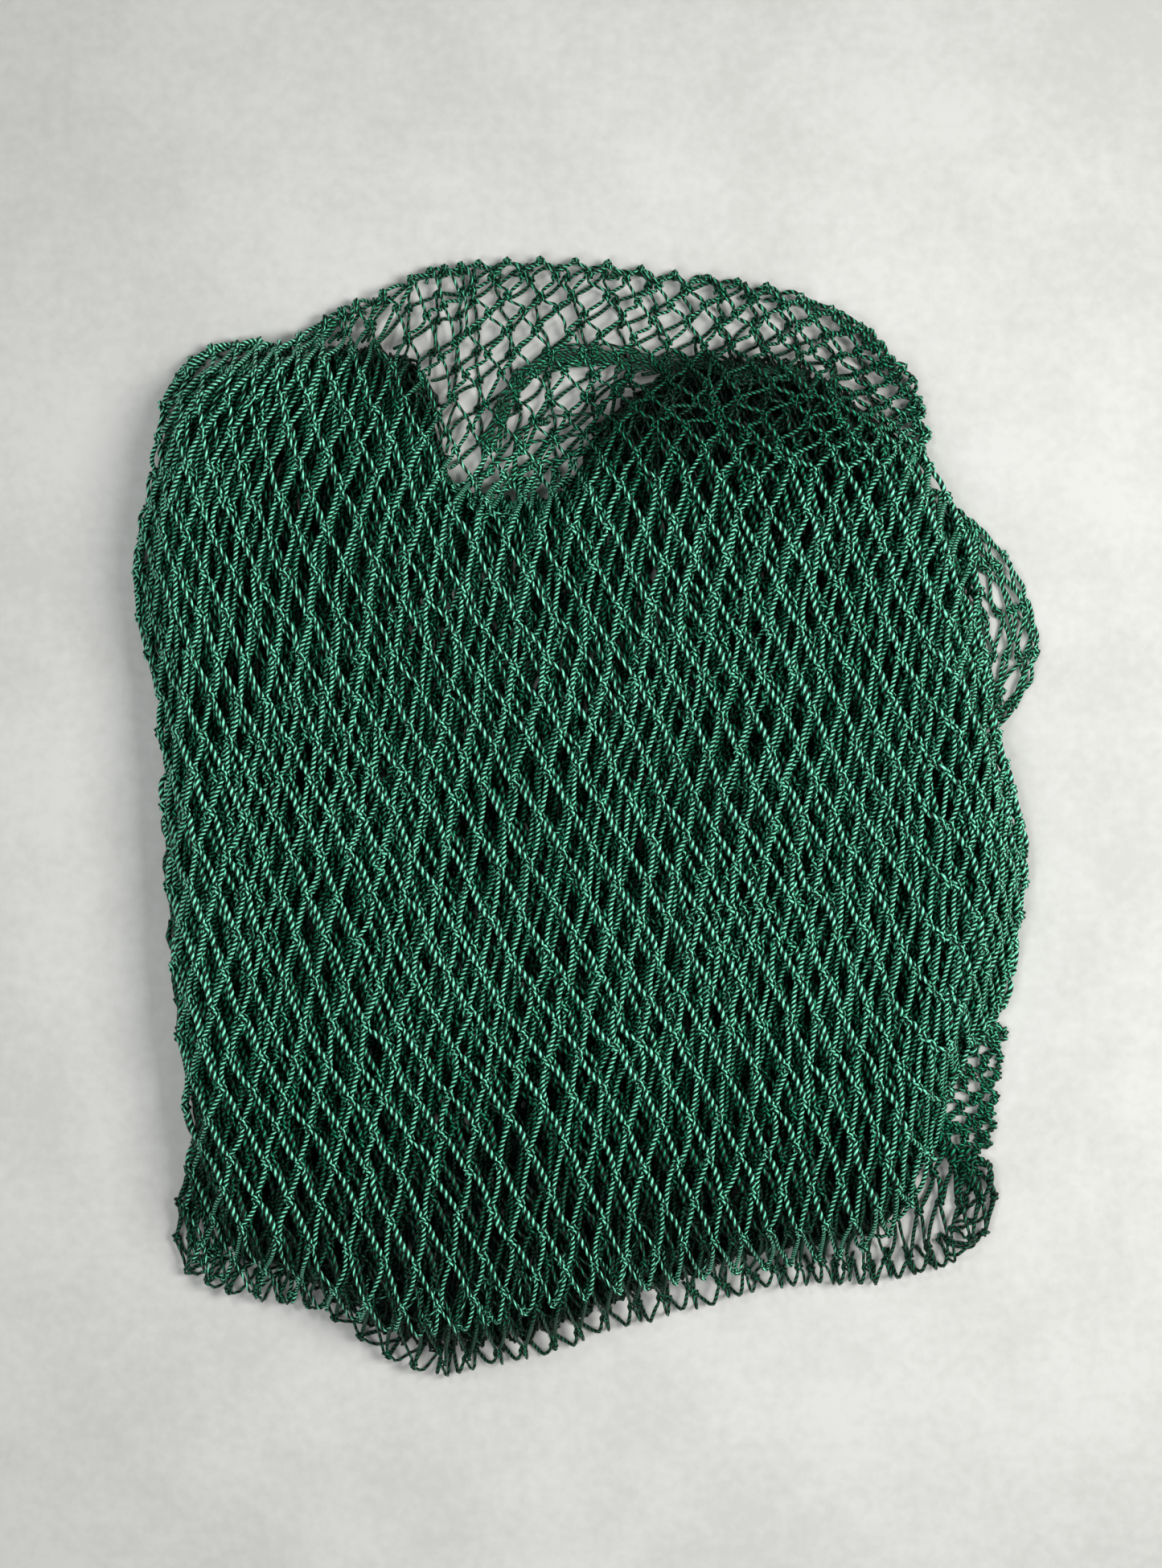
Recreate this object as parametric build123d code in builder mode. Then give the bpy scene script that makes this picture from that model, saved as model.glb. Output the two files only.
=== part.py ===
"""A folded length of knotted diamond-mesh netting, lying flat.

The net is one long piece, laid back and forth in layers. Each layer is a panel between two
fold lines. Panels join in pairs at the bottom edge and at the top edge, where the netting turns
over in a fold. The turned-over ends fill two shoulders beside a notch. Above the shoulders the
last fold stands out as a loose flap, and the top panel can be lifted about the line where it
meets that flap. Every soft piece here is a plain closed solid of the right size and place.

Millimetres, +Z up. The origin is the middle of the footprint, on the surface the net lies on.
+Y points to the loose flap.
"""

import os

from build123d import *

# Overall size
bundle_width = 181.0
bundle_length = 222.5
layer_thickness = 1.5  # one layer of netting, with its knots nested between the layers
panel_count = 9  # layers that stay down, under the top panel

# Folds
hinge_line_y = 62.0  # where the top panel lifts from, and the top edge of every panel
fold_depth = 4.0  # how far a fold reaches past the panels that it joins
edge_stagger = 2.4  # the most that one pair of panels is drawn in from the outline
notch_left_x = -30.0
notch_right_x = -1.0
notch_fold_end_gap = 1.0  # from the end of a fold in the notch to the shoulder

# Shoulders and loose flap
flap_drop_run = 18.25  # along Y, from where the flap leaves the shoulders to where it meets the floor
shoulder_bands = {"lower": 3, "middle": 3, "upper": 2}  # layers in each band
rim_depth = 3.0  # width of the fold round the flap's rim

# Loops that stand out of the right side
ear_outer_x = bundle_width / 2
ear_top_y = 55.0
ear_bottom_y = 17.0
tuck_outer_x = bundle_width / 2 - 6.0
tuck_top_y = -42.0
tuck_bottom_y = -66.0
loop_root_x = 76.0  # where a loop's ends run in under its panel's outline

# The top panel's running clearance from what stays down
lift_clearance = 0.3

half_width = bundle_width / 2
half_length = bundle_length / 2
panel_length = hinge_line_y + half_length
flap_length = half_length - hinge_line_y
shoulder_rise = flap_length - flap_drop_run  # from the hinge line to the top of a shoulder
pile_height = panel_count * layer_thickness
flap_level = pile_height - layer_thickness  # underside of the flap's lower sheet

# Outline of a panel, as shares of the half width and of the way down from the hinge line
LEFT_EDGE = [(-0.972, 0.0), (-0.9985, 0.08), (-0.95, 0.23), (-0.906, 0.47), (-0.873, 0.71),
             (-0.884, 0.83), (-0.80, 0.885)]
BOTTOM_EDGE = [(-0.80, 0.885), (-0.58, 0.915), (-0.32, 0.975), (-0.07, 0.955), (0.22, 0.90),
               (0.60, 0.875), (0.82, 0.845)]
RIGHT_EDGE = [(0.82, 0.845), (0.865, 0.74), (0.875, 0.64), (0.93, 0.50), (0.95, 0.39),
              (0.89, 0.26), (0.90, 0.14), (0.84, 0.045), (0.79, 0.0)]

# Outline of the loose flap, as shares of the half width and of the way up from the hinge line
FLAP_EDGE = [(-0.972, 0.0), (-0.95, 0.36), (-0.86, 0.62), (-0.68, 0.71), (-0.47, 0.87),
             (-0.22, 0.99), (0.03, 0.99), (0.24, 0.93), (0.46, 0.88), (0.62, 0.74),
             (0.72, 0.52), (0.755, 0.25), (0.774, 0.0)]

# Outlines of the shoulders: shares of the half width or of the rise
LEFT_SHOULDER = [(-0.945, 0.0), (-0.935, 0.45), (-0.87, 0.82), (-0.72, 0.99), (-0.55, 0.93),
                 (-0.42, 0.62)]
RIGHT_SHOULDER = [(0.08, 0.52), (0.20, 0.86), (0.36, 0.98), (0.52, 0.86), (0.65, 0.50), (0.75, 0.0)]


def down(points, inset=0.0):
    """Outline shares to points below the hinge line, drawn in from the sides and the bottom."""
    return [((half_width - inset) * x, hinge_line_y - y * (panel_length - inset)) for x, y in points]


def up(points, rise, inset=0.0):
    """Outline shares to points above the hinge line, drawn in from the sides and the top."""
    return [((half_width - inset) * x, hinge_line_y + y * (rise - inset)) for x, y in points]


def panel_outline(inset, top_gap=0.0):
    """Draws the closed outline of a panel in the current line context."""
    left, bottom, right = down(LEFT_EDGE, inset), down(BOTTOM_EDGE, inset), down(RIGHT_EDGE, inset)
    left[0] = (left[0][0], hinge_line_y - top_gap)
    right[-1] = (right[-1][0], hinge_line_y - top_gap)
    Spline(*left)
    Spline(*bottom)
    Spline(*right)
    Line(right[-1], left[0])


def pair_inset(layer):
    """How far a layer is drawn in. Layers 2 and 3, 4 and 5 and so on are joined at the bottom."""
    return edge_stagger * (0.0, 0.9, 0.35, 0.7, 0.15)[(layer // 2) % 5]


def layer_base(layer):
    """Height of the underside of a layer, counted from 1 at the floor."""
    return (layer - 1) * layer_thickness


def save(solid, label):
    """Names a finished piece and writes its STEP file."""
    solid.label = label
    export_step(solid, f"parts/{label}.step")


def make_panel(layer):
    """One flat layer of netting between its two fold lines."""
    with BuildPart() as panel:
        with BuildSketch(Plane.XY.offset(layer_base(layer))):
            with BuildLine():
                panel_outline(pair_inset(layer))
            make_face()
        extrude(amount=layer_thickness)
    return panel.part


def make_bottom_fold(inset, base, height):
    """The strip past the bottom edge where the netting turns from one layer to the next."""
    inner = down(BOTTOM_EDGE, inset)
    outer = [(x, y - fold_depth) for x, y in inner]
    with BuildPart() as fold:
        with BuildSketch(Plane.XY.offset(base)):
            with BuildLine():
                Spline(*inner)
                Line(inner[-1], outer[-1])
                Spline(*outer)
                Line(outer[0], inner[0])
            make_face()
        extrude(amount=height)
    return fold.part


def make_notch_fold(lower_layer):
    """The half-round turn that joins two layers across the notch, between the shoulders."""
    middle = layer_base(lower_layer + 1)
    start = notch_left_x + notch_fold_end_gap
    with BuildPart() as fold:
        with BuildSketch(Plane.YZ.offset(start)):
            with BuildLine():
                ThreePointArc(
                    (hinge_line_y, middle - layer_thickness),
                    (hinge_line_y + layer_thickness, middle),
                    (hinge_line_y, middle + layer_thickness),
                )
                Line((hinge_line_y, middle + layer_thickness), (hinge_line_y, middle - layer_thickness))
            make_face()
        extrude(amount=notch_right_x - notch_fold_end_gap - start)
    return fold.part


def make_shoulder(points, base, layers):
    """One band of turned-over layers in a shoulder."""
    with BuildPart() as shoulder:
        with BuildSketch(Plane.XY.offset(base)):
            with BuildLine():
                Spline(*points)
                Line(points[-1], points[0])
            make_face()
        extrude(amount=layers * layer_thickness)
    return shoulder.part


def bent_profile(base, height):
    """The side view of the flap: level over the shoulders, then down to the floor."""
    start = hinge_line_y + lift_clearance / 2
    crest = hinge_line_y + shoulder_rise
    drop = base - flap_level
    return [
        (start, base), (crest, base), (half_length, drop), (half_length, drop + height),
        (crest, base + height), (start, base + height),
    ]


def make_flap(base, height, inset, hollow_inset=None):
    """A bent sheet with the flap's outline, or only its rim where hollow_inset is given."""
    outline = up(FLAP_EDGE, flap_length, inset)
    with BuildPart() as flap:
        with BuildSketch():
            with BuildLine():
                Spline(*outline)
                Line(outline[-1], outline[0])
            make_face()
            if hollow_inset is not None:
                inner = up(FLAP_EDGE, flap_length, hollow_inset)
                with BuildLine():
                    Spline(*inner)
                    Line(inner[-1], inner[0])
                make_face(mode=Mode.SUBTRACT)
        extrude(amount=2 * pile_height)
        with BuildSketch(Plane.YZ):
            with BuildLine():
                Polyline(*bent_profile(base, height), close=True)
            make_face()
        extrude(amount=bundle_width, both=True, mode=Mode.INTERSECT)
    return flap.part


def make_side_loop(first_layer, layers, outer_x, top_y, bottom_y):
    """A loop of netting that stands out of the right side, flush with its layers' edge."""
    middle_y = (top_y + bottom_y) / 2
    with BuildPart() as loop:
        with BuildSketch(Plane.XY.offset(layer_base(first_layer))):
            with BuildLine():
                ThreePointArc((loop_root_x, top_y), (outer_x, middle_y), (loop_root_x, bottom_y))
                Line((loop_root_x, bottom_y), (loop_root_x, top_y))
            make_face()
            with BuildLine():
                panel_outline(pair_inset(first_layer))
            make_face(mode=Mode.SUBTRACT)
        extrude(amount=layers * layer_thickness)
    return loop.part


def make_top_panel():
    """The layer that lifts, just clear of the one under it and of the flap."""
    with BuildPart() as panel:
        with BuildSketch(Plane.XY.offset(pile_height + lift_clearance)):
            with BuildLine():
                panel_outline(0.0, top_gap=lift_clearance / 2)
            make_face()
        extrude(amount=layer_thickness)
    return panel.part


os.makedirs("parts", exist_ok=True)

for layer in range(1, panel_count + 1):
    save(make_panel(layer), f"panel_{layer:02d}")

for layer in range(2, panel_count, 2):
    save(
        make_bottom_fold(pair_inset(layer), layer_base(layer), 2 * layer_thickness),
        f"bottom_fold_{layer}_{layer + 1}",
    )

for layer in range(1, panel_count - 1, 2):
    save(make_notch_fold(layer), f"notch_fold_{layer}_{layer + 1}")

left_shoulder = up(LEFT_SHOULDER, shoulder_rise) + [(notch_left_x, hinge_line_y)]
right_shoulder = [(notch_right_x, hinge_line_y)] + up(RIGHT_SHOULDER, shoulder_rise)
for side, points in (("left", left_shoulder), ("right", right_shoulder)):
    base = 0.0
    for band, layers in shoulder_bands.items():
        save(make_shoulder(points, base, layers), f"{side}_shoulder_{band}")
        base += layers * layer_thickness

save(make_flap(flap_level, layer_thickness, rim_depth), "flap_lower_sheet")
save(make_flap(flap_level + layer_thickness, layer_thickness, rim_depth), "flap_upper_sheet")
save(make_flap(flap_level, 2 * layer_thickness, 0.0, rim_depth), "flap_rim_fold")

save(make_side_loop(2, 2, ear_outer_x, ear_top_y, ear_bottom_y), "right_ear_loop")
save(make_side_loop(1, 1, tuck_outer_x, tuck_top_y, tuck_bottom_y), "lower_right_tuck")

save(make_top_panel(), "top_panel")
save(make_bottom_fold(0.0, pile_height + lift_clearance, layer_thickness), "top_panel_hem")
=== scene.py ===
"""A folded length of knotted diamond-mesh netting, on a plain pale floor.

The net is built the way it is made. Each row of meshes is one twine that runs from side to side.
At its upper knots a row's twine is tied round the loops of the row above, and at its lower knots it
hangs in loops of its own. A layer is laid inside an outline and turned under where it meets it, and
each layer lies on those that were laid before it.

Lengths are in millimetres until a mesh is made, and the frame is the part's own: +Y points to the
loose flap, +Z is up, and the origin is under the middle of the bundle.
"""

import sys
import logging
import math
from dataclasses import dataclass, field
from enum import Enum

import bpy
import numpy as np
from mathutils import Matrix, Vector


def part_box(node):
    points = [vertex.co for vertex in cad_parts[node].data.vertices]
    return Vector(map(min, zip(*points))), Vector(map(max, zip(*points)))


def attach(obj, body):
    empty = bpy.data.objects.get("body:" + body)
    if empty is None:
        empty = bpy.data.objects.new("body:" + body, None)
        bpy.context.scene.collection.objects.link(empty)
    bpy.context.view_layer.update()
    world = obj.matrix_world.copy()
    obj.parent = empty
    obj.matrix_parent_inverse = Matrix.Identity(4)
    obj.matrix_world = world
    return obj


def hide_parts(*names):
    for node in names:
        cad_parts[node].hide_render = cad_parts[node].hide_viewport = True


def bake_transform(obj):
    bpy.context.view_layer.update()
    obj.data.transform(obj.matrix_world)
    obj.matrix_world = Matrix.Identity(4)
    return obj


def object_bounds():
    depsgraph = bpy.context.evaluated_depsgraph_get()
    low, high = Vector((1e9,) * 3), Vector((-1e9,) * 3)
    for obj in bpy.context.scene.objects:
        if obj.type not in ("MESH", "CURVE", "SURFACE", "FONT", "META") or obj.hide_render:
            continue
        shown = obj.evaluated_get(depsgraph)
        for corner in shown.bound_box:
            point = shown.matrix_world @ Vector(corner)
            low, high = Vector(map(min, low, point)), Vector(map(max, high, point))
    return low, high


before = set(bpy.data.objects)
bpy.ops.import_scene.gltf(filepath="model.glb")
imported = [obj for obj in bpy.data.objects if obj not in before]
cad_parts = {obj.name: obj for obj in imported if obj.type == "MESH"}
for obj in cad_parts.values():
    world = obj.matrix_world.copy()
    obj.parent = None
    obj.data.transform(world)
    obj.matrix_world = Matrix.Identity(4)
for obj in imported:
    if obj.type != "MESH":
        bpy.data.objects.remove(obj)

LOG = logging.getLogger("net")
MM = 0.001
CAD_LOW, CAD_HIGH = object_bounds()
HALF_WIDTH = (CAD_HIGH[0] - CAD_LOW[0]) / 2 / MM
HALF_LENGTH = (CAD_HIGH[1] - CAD_LOW[1]) / 2 / MM
HINGE_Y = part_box("panel_01")[1][1] / MM
LAYER = (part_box("panel_01")[1][2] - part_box("panel_01")[0][2]) / MM
LIFTING_BODY = "lifting_panel"
RESTING_BODY = "bundle"

# Below and to the right of these the net lies slack.
SLACK_Y, SLACK_X, SLACK_FADE = 34.0, 4.0, 30.0
# The thin loops along the bottom edge reach up to here, and less far up at the lowest lobe.
FRINGE_Y, FRINGE_FADE, LOBE_DROP, LOBE_X, LOBE_WIDTH = -84.0, 10.0, 12.0, -30.0, 30.0
# The flap is stretched from just above the hinge line, and from higher up at its two sides.
FOOT, LEFT_FOOT, RIGHT_FOOT, LEFT_CLIMB, RIGHT_CLIMB = 2.0, 28.0, 30.0, 0.9, 0.2
# The tangle of the right shoulder: its middle and its half widths.
TANGLE_X, TANGLE_Y, TANGLE_WIDTH, TANGLE_HEIGHT = 34.0, 79.0, 26.0, 13.0

Points = np.ndarray


class Grade(Enum):
    """How finely the twines of a layer are modelled: sides, and points on a bar, loop and knot."""

    FINE = (8, 5, (0, 1, 2, 3, 4), (0, 1, 2, 3, 4, 5, 6, 7, 8, 9))
    MIDDLE = (5, 3, (0, 1, 2, 3, 4), (0, 1, 2, 3, 4, 6, 8, 9))
    PLAIN = (5, 2, (0, 2, 4), (0, 2, 4, 8, 9))

    def __init__(self, sides: int, bar_points: int, loop_picks: tuple, knot_picks: tuple) -> None:
        self.sides = sides
        self.bar_points = bar_points
        self.loop_picks = list(loop_picks)
        self.knot_picks = list(knot_picks)


class Depth(Enum):
    """How deep in the bundle a layer lies, and how much painted shade darkens its twine.

    Each depth has its share of the light tone, smaller for the deeper layers as painted shade, and
    what is left of that towards the bottom edge.
    """

    OUTER = (1.04, 0.88)
    SECOND = (0.78, 0.62)
    UPPER = (0.64, 0.62)
    INNER = (0.50, 0.62)

    def __init__(self, light: float, low: float) -> None:
        self.light = light
        self.low = low


def smooth_step(value: Points) -> Points:
    """Eases a value from 0 to 1, held at both ends."""
    held = np.clip(value, 0.0, 1.0)
    return held * held * (3.0 - 2.0 * held)


def unit(vectors: Points) -> Points:
    """Scales vectors along the last axis to length one."""
    return vectors / np.maximum(np.linalg.norm(vectors, axis=-1, keepdims=True), 1e-9)


def spline(before: Points, here: Points, after: Points, far: Points, step: Points) -> Points:
    """The place a step of the way from one knot of a smooth curve to the one after it."""
    return 0.5 * (2 * here + (after - before) * step
                  + (2 * before - 5 * here + 4 * after - far) * step**2
                  + (3 * here - before - 3 * after + far) * step**3)


@dataclass(frozen=True)
class Ripple:
    """A smooth field of small random shifts, the same on every run.

    Args:
        seed: Picks the field.
        reach: Scales the shifts, which seldom go past twice this.
        wave: Mean wavelength.
        waves: How many waves are summed.
    """

    seed: int
    reach: float
    wave: float
    waves: int = 7

    def at(self, xy: Points) -> Points:
        """The shift at each point.

        Args:
            xy: Points in the plane, shape (..., 2).

        Returns:
            One number for each point.
        """
        rng = np.random.default_rng(self.seed)
        total = np.zeros(xy.shape[:-1])
        for _ in range(self.waves):
            turn, phase = rng.uniform(0, 2 * math.pi, 2)
            length = self.wave * rng.uniform(0.6, 1.6)
            run = xy[..., 0] * math.cos(turn) + xy[..., 1] * math.sin(turn)
            total += np.sin(run * 2 * math.pi / length + phase)
        return total * self.reach / math.sqrt(self.waves)


def stray(xy: Points, seed: int, reach: float, wave: float) -> Points:
    """Small smooth shifts of points in the plane, from two ripples."""
    return np.stack([Ripple(seed + k, reach, wave).at(xy) for k in (0, 1)], -1)


class Outline:
    """A closed smooth outline through a few points, which are shares of the bundle's half sizes."""

    def __init__(self, *shares: tuple[float, float], steps: int = 4) -> None:
        """Draws the outline.

        Args:
            shares: Points as shares of the half width and half length, in order.
            steps: Short straight runs between two of them.
        """
        knots = np.array(shares) * (HALF_WIDTH, HALF_LENGTH)
        before, after, far = np.roll(knots, 1, 0), np.roll(knots, -1, 0), np.roll(knots, -2, 0)
        runs = [spline(before, knots, after, far, step) for step in np.arange(steps) / steps]
        self.curve = np.stack(runs, 1).reshape(-1, 2)

    def measure(self, xy: Points) -> tuple[Points, Points, Points]:
        """How far points lie outside the outline.

        Args:
            xy: Points, shape (n, 2).

        Returns:
            Distances, negative inside; the nearest points of the outline; outward directions.
        """
        start, end = self.curve, np.roll(self.curve, -1, 0)
        run = end - start
        length = np.maximum((run**2).sum(-1), 1e-9)
        distance, nearest, inside = [], [], []
        for block in np.array_split(xy, max(1, len(xy) // 4000)):
            rel = block[:, None] - start
            share = np.clip((rel * run).sum(-1) / length, 0, 1)
            foot = start + share[..., None] * run
            gap = np.linalg.norm(block[:, None] - foot, axis=-1)
            pick = gap.argmin(1)
            rows = np.arange(len(block))
            distance.append(gap[rows, pick])
            nearest.append(foot[rows, pick])
            straddles = (start[:, 1] > block[:, None, 1]) != (end[:, 1] > block[:, None, 1])
            rise = np.where(np.abs(run[:, 1]) < 1e-9, 1e-9, run[:, 1])
            meets = start[:, 0] + (block[:, None, 1] - start[:, 1]) * run[:, 0] / rise
            inside.append((straddles & (block[:, None, 0] < meets)).sum(1) % 2 == 1)
        distance, nearest, inside = map(np.concatenate, (distance, nearest, inside))
        signed = np.where(inside, -distance, distance)
        safe = np.where(np.abs(signed) < 1e-6, 1e-6, signed)
        return signed, nearest, unit((xy - nearest) / safe[:, None])

    def varied(self, inset: float, seed: int, reach: float) -> "Outline":
        """A copy drawn in by a distance and made a little uneven.

        Args:
            inset: How far it is drawn in.
            seed: Picks the unevenness.
            reach: How uneven it is.

        Returns:
            The new outline.
        """
        copy = object.__new__(Outline)
        run = unit(np.roll(self.curve, -1, 0) - np.roll(self.curve, 1, 0))
        outward = np.stack([run[:, 1], -run[:, 0]], -1)
        after = np.roll(self.curve, -1, 0)
        turn = self.curve[:, 0] * after[:, 1] - after[:, 0] * self.curve[:, 1]
        outward = outward * np.sign(turn.sum())
        shift = Ripple(seed, reach, 60.0).at(self.curve) - inset
        copy.curve = self.curve + outward * shift[:, None]
        return copy

    def edge_y(self, x: Points, top: bool) -> Points:
        """Where the outline crosses given places across.

        Args:
            x: The places.
            top: Whether its top edge is meant, or its bottom one.

        Returns:
            How far up the page it crosses each.
        """
        levels = np.full(np.shape(x), np.nan)
        start, end = self.curve, np.roll(self.curve, -1, 0)
        for (ax, ay), (bx, by) in zip(start, end):
            if abs(bx - ax) < 1e-9:
                continue
            share = (x - ax) / (bx - ax)
            level = np.where((share >= 0) & (share <= 1), ay + share * (by - ay), np.nan)
            levels = np.fmax(levels, level) if top else np.fmin(levels, level)
        return levels


class Pile:
    """The height that the layers laid so far have reached, on a grid."""

    def __init__(self, margin: float = 24.0, pitch: float = 1.5) -> None:
        """Starts with the bare floor.

        Args:
            margin: How far the grid reaches past the bundle.
            pitch: From one point of the grid to the next.
        """
        self.pitch = pitch
        self.low = np.array([-HALF_WIDTH - margin, -HALF_LENGTH - margin])
        counts = ((-2 * self.low) / pitch).astype(int) + 1
        across, along = (self.low[i] + pitch * np.arange(counts[i]) for i in (0, 1))
        self.grid = np.stack(np.meshgrid(across, along, indexing="ij"), -1)
        self.height = np.zeros(self.grid.shape[:2])

    def lay(self, outline: Outline, thickness: float, softness: float) -> None:
        """Adds a layer, whose edge falls away evenly.

        Args:
            outline: Where the layer lies.
            thickness: How much it lifts what is laid on it.
            softness: Half the width over which its edge falls away.
        """
        signed, _, _ = outline.measure(self.grid.reshape(-1, 2))
        cover = smooth_step(0.5 - signed / (2 * softness)).reshape(self.height.shape)
        self.height += thickness * cover

    def at(self, xy: Points) -> Points:
        """The height under each point, between the grid's own.

        Args:
            xy: Points, with a last axis of two.

        Returns:
            One height for each point.
        """
        place = (xy - self.low) / self.pitch
        limit = np.array(self.height.shape) - 2
        cell = np.clip(np.floor(place).astype(int), 0, limit)
        part = np.clip(place - cell, 0, 1)
        i, j = cell[..., 0], cell[..., 1]
        fx, fy = part[..., 0], part[..., 1]
        near = self.height[i, j] * (1 - fx) + self.height[i + 1, j] * fx
        far = self.height[i, j + 1] * (1 - fx) + self.height[i + 1, j + 1] * fx
        return near * (1 - fy) + far * fy


@dataclass(frozen=True)
class Twine:
    """The twine, and the shape of the knot that joins its rows.

    Each run of the twine between two ties has its own radius and its own twist, as a share of the
    tight one. A tie's points are across, along and out of the sheet. Lengths are in millimetres.

    Args:
        tied: Radius and twist in a knot or a loop.
        firm: Radius and twist of the bars that rise to the right.
        thin: Radius and twist of the bars that fall to the right, where they are pulled tight.
        loose: Radius and twist of the same bars where the net lies slack.
        taut: Share of the radius that is left in the stretched flap.
        loop: Points of the loop at a lower knot.
        knot: Points of the tie round that loop.
    """

    tied: tuple = (0.36, 0.75)
    firm: tuple = (0.45, 1.0)
    thin: tuple = (0.37, 0.45)
    loose: tuple = (0.54, 0.60)
    taut: float = 0.78
    loop: tuple = ((-0.42, 0.95, 0.0), (-0.42, -0.1, 0.1), (0.0, -0.72, 0.25),
                   (0.42, -0.1, 0.1), (0.42, 0.95, 0.0))
    knot: tuple = ((-0.50, -1.05, -0.2), (-0.78, -0.15, -0.05), (-0.52, 0.62, 0.45),
                   (0.12, 0.42, 0.82), (0.62, -0.12, 0.3), (0.25, 0.15, -0.55),
                   (-0.55, 0.1, -0.3), (-0.35, -0.42, 0.55), (0.22, -0.62, 0.7),
                   (0.52, -1.1, 0.1))

    def dress(self, kinds: Points, xy: Points) -> tuple[Points, Points]:
        """Gives each point its radius and its twist.

        Args:
            kinds: 0 in a tie, 1 on a bar that falls to the right and 2 on one that rises.
            xy: Places of the points.

        Returns:
            Radii in millimetres, and shares of the tight twist.
        """
        x, y = xy[..., 0], xy[..., 1]
        slack = np.maximum(
            smooth_step((SLACK_Y - y) / SLACK_FADE), smooth_step((x - SLACK_X) / SLACK_FADE))
        lobe = LOBE_DROP * np.exp(-(((x - LOBE_X) / LOBE_WIDTH) ** 2))
        inner = smooth_step((y - FRINGE_Y + lobe) / FRINGE_FADE)
        dressed = []
        for tied, firm, thin, loose in zip(self.tied, self.firm, self.thin, self.loose):
            falling = thin + (loose - thin) * slack * inner
            dressed.append(np.where(kinds == 0, tied, np.where(kinds == 1, falling, firm)))
        climb = y - HINGE_Y - FOOT - LEFT_CLIMB * np.maximum(-x - LEFT_FOOT, 0.0)
        stretch = smooth_step((climb - RIGHT_CLIMB * np.maximum(x - RIGHT_FOOT, 0.0)) / 16.0)
        thinned = (1.0 - (1.0 - self.taut) * stretch) * (0.8 + 0.2 * inner)
        return dressed[0] * thinned, dressed[1]


@dataclass(frozen=True)
class Weave:
    """How a layer's meshes lie inside its outline.

    Args:
        mesh_width: Mean width of a mesh.
        rows_down: Rows of knots from the hinge line to the bottom edge.
        rows_up: Rows of knots from the hinge line to the flap's rim.
        drift: How much the columns lean to the right on their way down.
        flap_drift: How much they lean to the right on their way up the flap.
        rise: How far the rows climb from left to right, to each side of the middle.
        crowd: How much the meshes narrow towards the sides.
        close: How much nearer the rows lie to each other at the rim than at the hinge line.
        seed: Picks the small irregularities.
        shift: How far the columns are shifted to the right.
        row_shift: How far the rows are shifted, as a share of a row.
        wobble: How far whole stretches of the net stray.
        jitter: How far each knot strays by itself.
        bow: How far the bars stray from straight, as a share of their length.
        tangle: How far the right shoulder's twines are pushed about.
    """

    mesh_width: float = 5.5
    rows_down: int = 20
    rows_up: int = 0
    drift: float = 0.10
    flap_drift: float = 0.0
    rise: float = 7.0
    crowd: float = 0.20
    close: float = 0.32
    seed: int = 1
    shift: float = 0.0
    row_shift: float = 0.0
    wobble: float = 1.0
    jitter: float = 0.28
    bow: float = 0.05
    tangle: float = 0.0

    def row_height(self, in_flap: bool = False) -> float:
        """Height of one row of meshes as they lie.

        Args:
            in_flap: Whether the row is in the flap.

        Returns:
            The height in millimetres.
        """
        if in_flap:
            return (HALF_LENGTH - HINGE_Y) / max(self.rows_up, 6)
        return (HINGE_Y + 0.9 * HALF_LENGTH) / self.rows_down


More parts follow.
